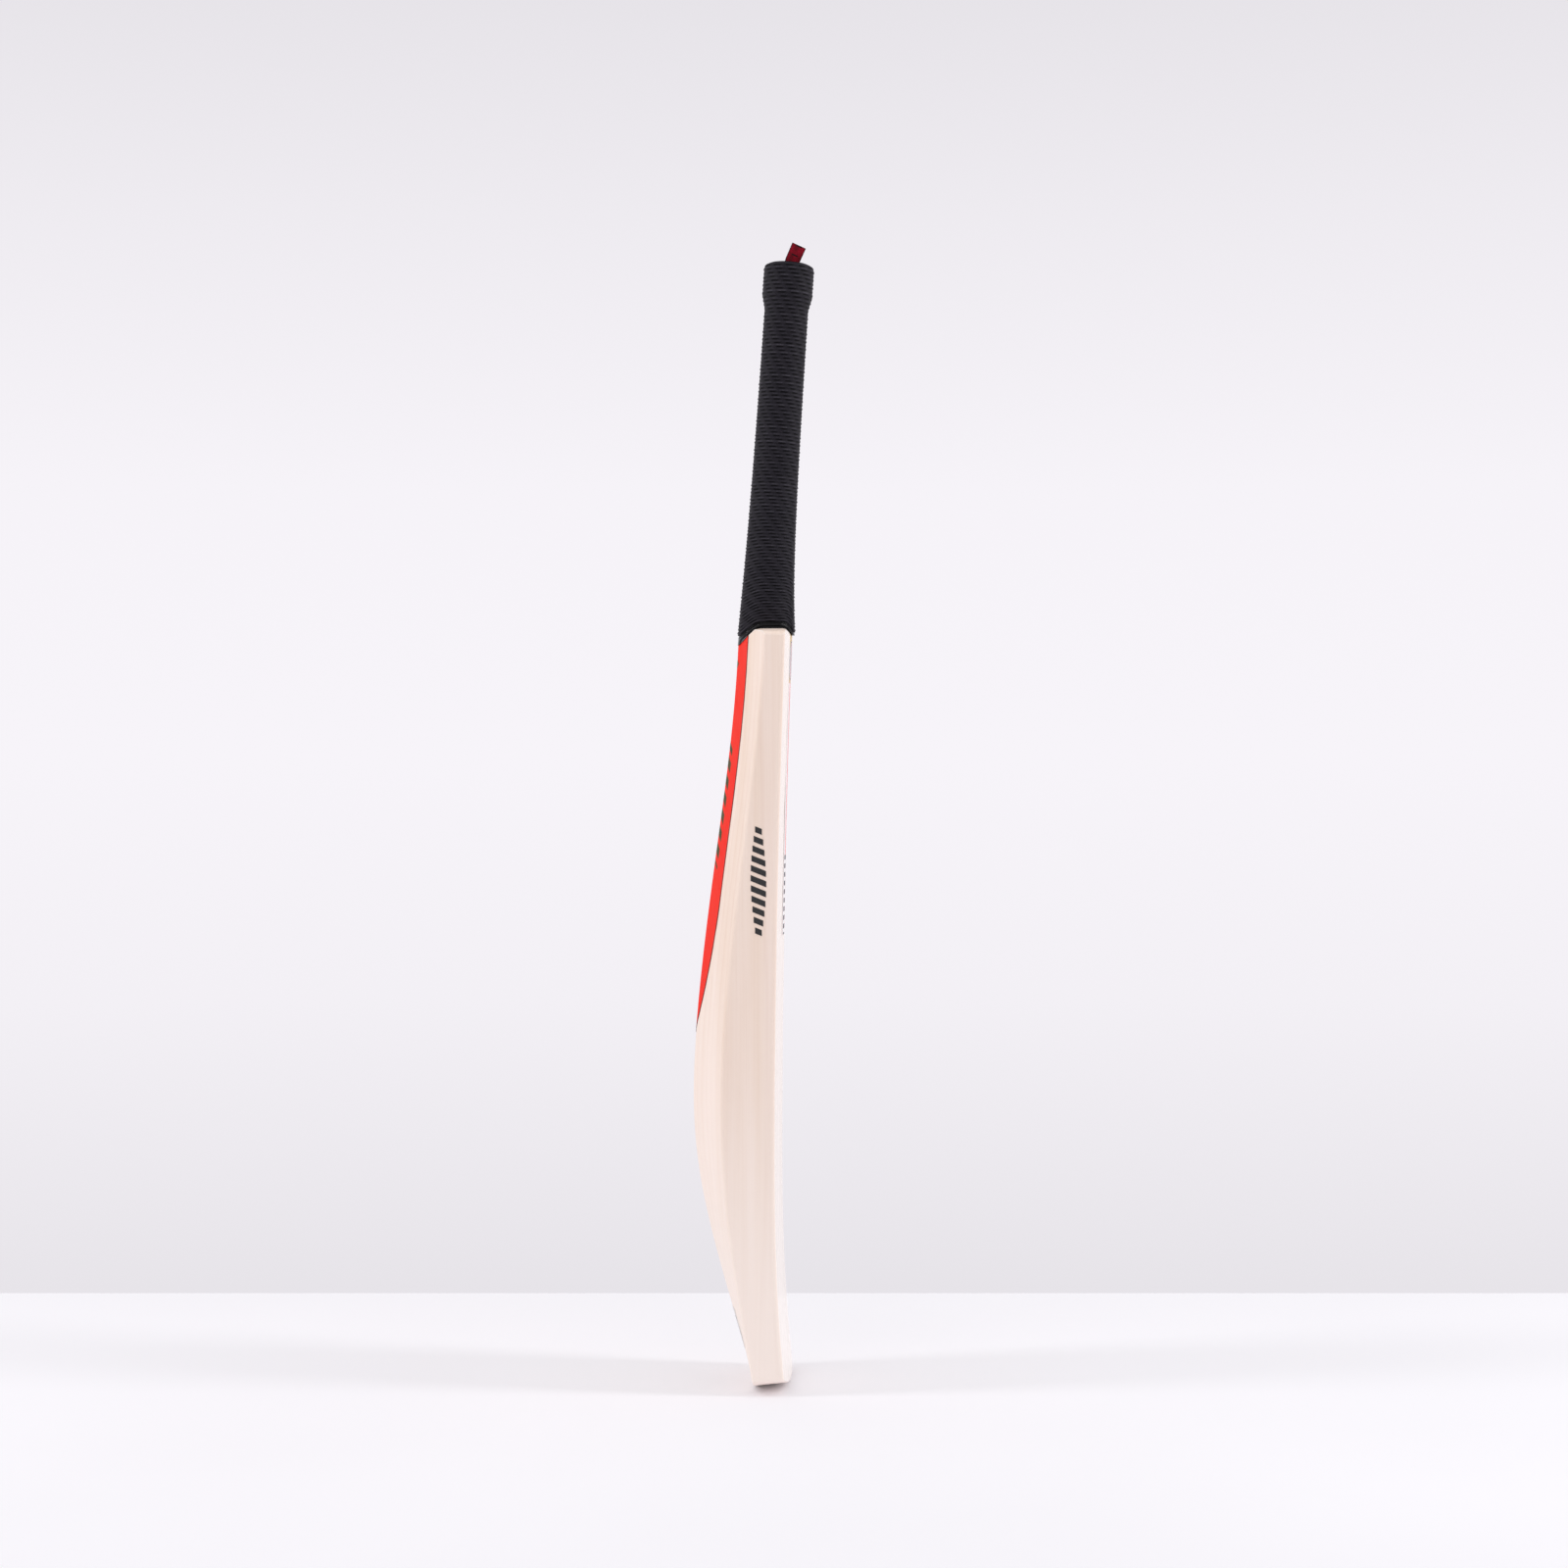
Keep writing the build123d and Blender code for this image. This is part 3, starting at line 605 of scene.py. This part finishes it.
LAND = SLOT_DEPTH / RELIEF       # the level of the rubber between slots and ribs
RIB_PROUD = 0.6 * MM             # the strong ribs stand this far out of the solid's outline
WEAK_RIB = 0.6                   # every other rib is this much of the height
PLAIN_RIB = 0.5                  # and a rib this much where it has no slot
POINTS_ROUND = DASHES * 13
ARCH_POWER = 6                   # how soon the rings straighten above the hem
HEM_PROUD = 0.6 * MM             # and this much further where the hem stretches the sleeve
HEM_FADE = 30 * MM
HEM_ROUND = 0.6 * MM             # rounding of the hem's inner edge
HEM_EASE = 0.3 * MM              # its outer edge lies this much further in than a rib's height
HEM_INSIDE = 3 * MM              # how far up the sleeve's inside is made
RIM_FLAT = 1.0 * MM              # the ribs stop this far below the rim
RIM_STEPS = (0.5 * MM, 0.1 * MM)                   # plain rings below the rim
MOUTH_ROUND = 0.8 * MM           # at the rim the mouth is this much wider than the bore all round
MOUTH_DEPTH = 6 * MM             # how far down the mouth is made
RIB_SEED = 11

TAPE_TURNS = (                   # each starts and stops at a share of the way from hem to wood
    (0.0, 0.24, 0.35 * MM),      # and bulges this far
    (0.24, 0.9, 0.65 * MM),
)
TURN_STEPS = 7
TURN_BLUNT = 0.6                 # power of the bulge's arch: blunter below 1
TAPE_SINK = 0.3 * MM             # the turns of tape start and end this far inside the solid
TAPE_INSIDE = 1.4 * MM           # and their back lies this far inside it
EDGE_SPREAD = 1.6                # how widely they spread over the blade's edges

SEARCH_STRIDES = 32              # in looking for where a solid ends on the handle
SEARCH_HALVINGS = 8
SURFACE_MARGIN = 1.0 * MM        # a solid's surface may lie this far from the handle's
RAY_REACH = 1.4                  # a ray's length, in distances from surface to centre line
HEM_SEARCH = 12 * MM             # the hem lies this near to the crest
FOOT_SEARCH = 20 * MM            # and the tape's foot this near below it
HEM_TO_FOOT = 1 * MM             # there is at least this much tape below the hem


def grip_halves(along):
    """Half the width and half the depth over the grip, this far along the handle."""
    fade = math.exp(-along / NECK_FADE)
    top = GRIP_DIAMETER / 2
    flare = (along - HANDLE_LENGTH + KNOB_LENGTH) / KNOB_FLARE
    knob = top + (KNOB_DIAMETER / 2 - top) * min(max(flare, 0), 1)
    across = top + (NECK_WIDTH / 2 - top) * fade
    deep = top + (NECK_DEPTH / 2 - top) * fade
    return max(across, knob), max(deep, knob)


def grip_point(along, angle, inset):
    """A point this far inside the outermost surface of the grip."""
    across, deep = grip_halves(along)
    over = max(along - HANDLE_LENGTH + KNOB_RIM_ROUND, 0)
    inset += KNOB_RIM_ROUND - math.sqrt(KNOB_RIM_ROUND**2 - min(over, KNOB_RIM_ROUND)**2)
    shift = NECK_SHIFT * math.exp(-along / NECK_SHIFT_FADE)
    return (CREST + ALONG * along
            + ACROSS * ((across - inset) * math.cos(angle))
            + DEEP * ((deep - inset) * math.sin(angle) - shift))


def shell_of(node):
    """A solid's surface, for casting rays at."""
    mesh = frame["nodes"][node].data
    return BVHTree.FromPolygons(
        [vertex.co for vertex in mesh.vertices], [face.vertices for face in mesh.polygons],
    )


def on_shell(shell, along, angle):
    """Whether a solid's surface lies on the handle's outermost surface at this place.

    The ray starts as far outside that surface as the centre line is inside it.
    """
    surface = grip_point(along, angle, 0)
    inward = CREST + ALONG * along - surface
    hit = shell.ray_cast(surface - inward, inward.normalized(), inward.length * RAY_REACH)[0]
    return hit is not None and (hit - surface).length < SURFACE_MARGIN


def lower_limit(shell, angle, low, high):
    """How far down a solid lies on the handle's surface at this angle."""
    stride = (high - low) / SEARCH_STRIDES
    along = low
    while along < high and not on_shell(shell, along, angle):
        along += stride
    below, above = along - stride, along
    for _ in range(SEARCH_HALVINGS):
        middle = (below + above) / 2
        if on_shell(shell, middle, angle):
            above = middle
        else:
            below = middle
    return above


def row_profile(step):
    """The slot and the rib above it, going up over one row."""
    slot = 1 - smooth(abs(step - SLOT_AT) / SLOT_REACH)
    rib = 1 - smooth(abs(step - RIB_AT) / RIB_REACH)
    return slot, rib


def relief_at(row, step, angle, strength, dashes):
    """Height of the rubber's surface, from 0 in a slot to 1 on top of a rib.

    The strength is that of this row's rib, and dashes holds a depth for each slot of the row.
    """
    place = angle / (2 * math.pi) * DASHES + DASH_SHIFT * row
    number = math.floor(place)
    share = place - number
    depth = dashes[number % DASHES]
    length = DASH_SHARE * (0.5 + 0.5 * depth)
    dash = smooth(share / DASH_END) * smooth((length - share) / DASH_END)
    slot, rib = row_profile(step)
    rib *= strength * (PLAIN_RIB + (1 - PLAIN_RIB) * dash * depth)
    slot *= dash * depth * (1 - DASH_TAPER * share / DASH_SHARE)
    return LAND + (1 - LAND) * rib - LAND * slot


def add_piece(name, points, faces, material):
    """A smooth-shaded piece of the scene, made of these points and faces."""
    mesh = bpy.data.meshes.new(name)
    mesh.from_pydata(points, [], faces)
    mesh.materials.append(material)
    mesh.shade_smooth()
    piece = bpy.data.objects.new(name, mesh)
    bpy.context.scene.collection.objects.link(piece)
    return piece


def tube(name, rings, material):
    """A tube of quads through rings that all have as many points."""
    count = len(rings[0])
    points = [point for ring in rings for point in ring]
    faces = []
    for ring in range(len(rings) - 1):
        low, high = ring * count, (ring + 1) * count
        for spot in range(count):
            after = (spot + 1) % count
            faces.append((low + spot, low + after, high + after, high + spot))
    return add_piece(name, points, faces, material)


def ribbed_grip(material, angles, hems):
    """The rubber sleeve: staggered slots under rings of ribs, which arch over the shoulders."""
    chance = random.Random(RIB_SEED)
    rows_top = HANDLE_LENGTH - RIM_FLAT
    rings, relief = [], []

    def plain_ring(places):
        rings.append(places)
        relief.extend([LAND] * len(angles))

    def hem_ring(rise, inset):
        plain_ring([grip_point(hem + rise, angle, inset) for hem, angle in zip(hems, angles)])

    hem_ring(HEM_INSIDE, GRIP_WALL)
    hem_ring(HEM_ROUND, GRIP_WALL)
    hem_ring(0.0, GRIP_WALL - HEM_ROUND)
    hem_ring(0.0, RIB_HEIGHT + HEM_EASE)
    for row in range(ROWS):
        dashes = [1 - DASH_VARIES * chance.random() for _ in range(DASHES)]
        strength = (WEAK_RIB if row % 2 else 1.0) * (1 - RIB_VARIES * chance.random())
        for step in ROW_STEPS:
            share = (row + step) / ROWS
            straight = (1 - share) ** ARCH_POWER
            height = rows_top * share * (1 - ROW_SPREAD * (1 - share))
            proud = RIB_PROUD + HEM_PROUD * math.exp(-height / HEM_FADE)
            level = [relief_at(row, step, angle, strength, dashes) for angle in angles]
            relief.extend(level)
            rings.append([
                grip_point(hem * straight + height, angle, RELIEF * (1 - rise) - proud)
                for hem, angle, rise in zip(hems, angles, level)
            ])
    # The bore's inset, less the rounding that grip_point adds to it at the rim. MOUTH_ROUND below
    # the rim it adds less, so that ring comes out wider than the bore and as wide as the outside.
    mouth = KNOB_DIAMETER / 2 - (GRIP_DIAMETER / 2 - GRIP_WALL) - KNOB_RIM_ROUND
    rim = [(fall, RIB_HEIGHT) for fall in RIM_STEPS]
    rim += [(0.0, mouth - MOUTH_ROUND), (MOUTH_ROUND, mouth)]
    rim += [(MOUTH_DEPTH, mouth + KNOB_RIM_ROUND)]
    for fall, inset in rim:
        plain_ring([grip_point(HANDLE_LENGTH - fall, angle, inset) for angle in angles])

    piece = tube("ribbed_grip", rings, material)
    attribute = piece.data.attributes.new("relief", "FLOAT", "POINT")
    attribute.data.foreach_set("value", relief)
    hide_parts("grip")
    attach(piece, "root")


def over_edge(angle):
    """1 over either edge of the blade, and 0 over its face and its spine."""
    return smooth(abs(math.cos(angle)) * EDGE_SPREAD)


def tape_turns(material, angles, hems, feet):
    """The turns of glossy tape that bulge, over each edge, between the grip's hem and the wood."""
    rings = []
    for start, stop, bulge in TAPE_TURNS:
        for step in range(TURN_STEPS + 1):
            share = step / TURN_STEPS
            down = start + (stop - start) * share
            rise = (TAPE_SINK + bulge) * math.sin(math.pi * share) ** TURN_BLUNT
            rings.append([
                grip_point(hem + (foot - hem) * down, angle, TAPE_SINK - rise * over_edge(angle))
                for angle, hem, foot in zip(angles, hems, feet)
            ])
    inside = [
        [grip_point(limit, angle, TAPE_INSIDE) for angle, limit in zip(angles, limits)]
        for limits in (feet, hems)
    ]
    piece = tube("tape_turns", rings + inside + rings[:1], material)
    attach(piece, "root")


def grip_and_tape():
    """The sleeve and the turns of tape, fitted to where their solids end on the handle."""
    angles = [2 * math.pi * spot / POINTS_ROUND for spot in range(POINTS_ROUND)]
    grip_shell = shell_of("grip")
    tape_shell = shell_of("neck_tape")
    hems = [lower_limit(grip_shell, angle, -HEM_SEARCH, HEM_SEARCH) for angle in angles]
    feet = [
        lower_limit(tape_shell, angle, -FOOT_SEARCH, hem - HEM_TO_FOOT)
        for angle, hem in zip(angles, hems)
    ]
    ribbed_grip(grip_rubber(), angles, hems)
    tape_turns(gloss_tape(), angles, hems, feet)


# ---- Ribbon ----------------------------------------------------------------------------------
RIBBON_THICKNESS = 0.22 * MM
RIBBON_GAP = 0.15 * MM           # between the cane and the inner layer
LAYER_GAP = 0.45 * MM            # between the middles of the two layers
FOLD_ROOM = 0.4 * MM             # the layers end this far short, to leave room for the fold
BEND_LENGTH = 1.5 * MM           # over which the ribbon starts to lean, at the rim
CURL = 0.5 * MM                  # how far the top of the ribbon curls out of flat
CURL_TURN = 2.4                  # radians of a sine over its width
RIBBON_ROWS = 26                 # in one layer
FOLD_ROWS = 6
RIBBON_COLUMNS = 14


def ribbon_course(reach):
    """The ribbon's length from end to end, as its rise from the rim and its way outwards."""
    layer = [
        -RIBBON_TUCK + (RIBBON_TUCK + reach) * step / RIBBON_ROWS for step in range(RIBBON_ROWS + 1)
    ]
    turns = [math.pi * step / FOLD_ROWS for step in range(1, FOLD_ROWS)]
    fold = [
        (reach + LAYER_GAP / 2 * math.sin(turn), LAYER_GAP / 2 * (1 - math.cos(turn)))
        for turn in turns
    ]
    return [(rise, 0.0) for rise in layer] + fold + [(rise, LAYER_GAP) for rise in reversed(layer)]


def ribbon_loop(material):
    """A woven ribbon, folded in two: it stands out of the grip and leans to the face."""
    outward = -ACROSS * math.cos(RIBBON_TURN) - DEEP * math.sin(RIBBON_TURN)
    sideways = ACROSS * math.sin(RIBBON_TURN) - DEEP * math.cos(RIBBON_TURN)
    cane_radius = GRIP_DIAMETER / 2 - CANE_INSET
    seat = CREST + ALONG * HANDLE_LENGTH
    seat += outward * (cane_radius + RIBBON_GAP) + sideways * RIBBON_OFFSET
    reach = RIBBON_STAND - FOLD_ROOM

    def layer_point(rise, across, out):
        """A point of the strip: straight while it is tucked in, leaning above the rim."""
        lean = RIBBON_LEAN * smooth(rise / BEND_LENGTH + 0.5)
        ahead = across * math.cos(lean) + max(rise, 0) * math.sin(lean)
        up = max(rise, 0) * math.cos(lean) + min(rise, 0) - across * math.sin(lean)
        curl = CURL * math.sin(across / RIBBON_WIDTH * CURL_TURN) * smooth(rise / reach)
        return seat + sideways * ahead + ALONG * up + outward * (out + curl)

    course = ribbon_course(reach)
    points, texture = [], []
    length = 0.0
    for index, (rise, out) in enumerate(course):
        if index:
            length += math.dist(course[index - 1], (rise, out))
        for column in range(RIBBON_COLUMNS + 1):
            across = (column / RIBBON_COLUMNS - 0.5) * RIBBON_WIDTH
            points.append(layer_point(rise, across, out))
            texture.append((column / RIBBON_COLUMNS * RIBBON_WIDTH, length))
    wide = RIBBON_COLUMNS + 1
    faces = [
        (row * wide + column, row * wide + column + 1,
         (row + 1) * wide + column + 1, (row + 1) * wide + column)
        for row in range(len(course) - 1) for column in range(RIBBON_COLUMNS)
    ]
    piece = add_piece("ribbon_loop", points, faces, material)
    layer = piece.data.uv_layers.new(name="cloth")
    for corner in piece.data.loops:
        layer.data[corner.index].uv = texture[corner.vertex_index]
    thick = piece.modifiers.new("thickness", "SOLIDIFY")
    thick.thickness = RIBBON_THICKNESS
    thick.offset = 0
    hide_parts("ribbon_tag")
    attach(piece, "root")


# ---- Finishes on the solids ------------------------------------------------------------------
def dress(node, material):
    """Give a solid its material."""
    piece = frame["nodes"][node]
    piece.data.materials.clear()
    piece.data.materials.append(material)


def dress_solids():
    """Dress all the solids that show as they are, and those inside."""
    dress("blade", willow())
    cane_finish = cane()
    for layer in ("front", "middle", "rear"):
        for number in range(1, LATHS_ACROSS + 1):
            dress(f"{layer}_cane_{number}", cane_finish)
    rubber = spring_rubber()
    dress("front_rubber_spring", rubber)
    dress("rear_rubber_spring", rubber)
    dress("handle_binding", twine())
    dress("neck_tape", gloss_tape())
    dress("back_label", red_film())
    dress("face_label", face_film())
    dress("face_badge", badge_film())
    dress("toe_label", toe_film())
    vinyl = black_vinyl()
    dress("left_edge_mark", vinyl)
    dress("right_edge_mark", vinyl)


# ---- Stage, light and camera -----------------------------------------------------------------
def floor():
    """A pale board under the bat, which ends a little way behind it."""
    behind = -TO_CAMERA * FLOOR_BEHIND
    ahead = TO_CAMERA * FLOOR_REACH
    wide = TO_RIGHT * FLOOR_REACH
    level = Vector((0, 0, FLOOR))
    corners = [ahead - wide, ahead + wide, behind + wide, behind - wide]
    mesh = bpy.data.meshes.new("floor")
    mesh.from_pydata([AIM.xy.to_3d() + corner + level for corner in corners], [], [(0, 1, 2, 3)])
    made = Finish("floor", 0.75, Specular_IOR_Level=0.2)
    cloud = made.noise(made.stretched(3, 3, 3), detail=2.0)
    made.colour(made.ramp(cloud, ((0.3, tone(247, 245, 250)), (0.7, tone(249, 247, 252)))))
    mesh.materials.append(made.material)
    board = bpy.data.objects.new("floor", mesh)
    bpy.context.scene.collection.objects.link(board)


def backdrop():
    """The pale grey ground with painted shade, which the camera and mirrored rays see, and an even
    white light.
    """
    world = bpy.data.worlds.new("studio")
    bpy.context.scene.world = world
    world.use_nodes = True
    world.node_tree.nodes.clear()
    made = Nodes(world.node_tree)
    way = made.node("ShaderNodeTexCoord").outputs["Generated"]
    height = made.node("ShaderNodeSeparateXYZ", {0: way}).outputs[2]
    level = made.node("ShaderNodeMapRange", {
        "Value": height, "From Min": GROUND_LOW, "From Max": GROUND_HIGH,
    }).outputs[0]
    # Painted shade: the ground the camera sees is darker towards both ends of this range, as a
    # studio sweep falls off in light.
    shades = made.ramp(level, (
        (0.00, tone(229, 226, 231)),
        (0.10, tone(235, 232, 237)),
        (0.24, tone(243, 240, 245)),
        (0.42, tone(247, 244, 249)),
        (0.62, tone(246, 243, 248)),
        (0.82, tone(238, 235, 240)),
        (1.00, tone(229, 226, 231)),
    ))
    seen = made.node("ShaderNodeBackground", {"Color": shades}).outputs[0]
    light = made.node("ShaderNodeBackground", {"Color": WHITE, "Strength": FILL}).outputs[0]
    rays = made.node("ShaderNodeLightPath").outputs
    mirrored = made.math("MAXIMUM", rays["Is Glossy Ray"], rays["Is Transmission Ray"])
    showing = made.math("MAXIMUM", rays["Is Camera Ray"], mirrored)
    mixed = made.node("ShaderNodeMixShader", {0: showing, 1: light, 2: seen}).outputs[0]
    made.node("ShaderNodeOutputWorld", {"Surface": mixed})


def lamp(name, side, watts):
    """A tall strip light beside the bat: side is 1 for the right and -1 for the left."""
    data = bpy.data.lights.new(name, "AREA")
    data.shape = "RECTANGLE"
    data.size = LAMP_WIDE
    data.size_y = LAMP_TALL
    data.energy = watts
    piece = bpy.data.objects.new(name, data)
    way = TO_RIGHT * side * math.cos(LAMP_AHEAD) + TO_CAMERA * math.sin(LAMP_AHEAD)
    piece.location = AIM + way * LAMP_DISTANCE
    piece.location.z = FLOOR + LAMP_HEIGHT
    target = Vector((AIM.x, AIM.y, FLOOR + LAMP_AIM))
    piece.rotation_mode = "QUATERNION"
    piece.rotation_quaternion = (target - piece.location).to_track_quat("-Z", "Y")
    bpy.context.scene.collection.objects.link(piece)


def lamps():
    """One strip light on either side of the bat."""
    lamp("left_strip", -1, LEFT_WATTS)
    lamp("right_strip", 1, RIGHT_WATTS)


def camera():
    """A level camera with a long lens, just off the line of the bat's edge."""
    data = bpy.data.cameras.new("camera")
    data.lens = data.sensor_width * CAMERA_DISTANCE / VIEW_WIDTH
    eye = bpy.data.objects.new("camera", data)
    eye.location = AIM + TO_CAMERA * CAMERA_DISTANCE
    eye.location.z = FLOOR + CAMERA_HEIGHT
    eye.rotation_mode = "QUATERNION"
    eye.rotation_quaternion = (-TO_CAMERA).to_track_quat("-Z", "Y")
    bpy.context.scene.collection.objects.link(eye)
    bpy.context.scene.camera = eye


bpy.context.scene.view_settings.view_transform = "Standard"
camera()
floor()
backdrop()
lamps()
dress_solids()
grip_and_tape()
ribbon_loop(ribbon_cloth())
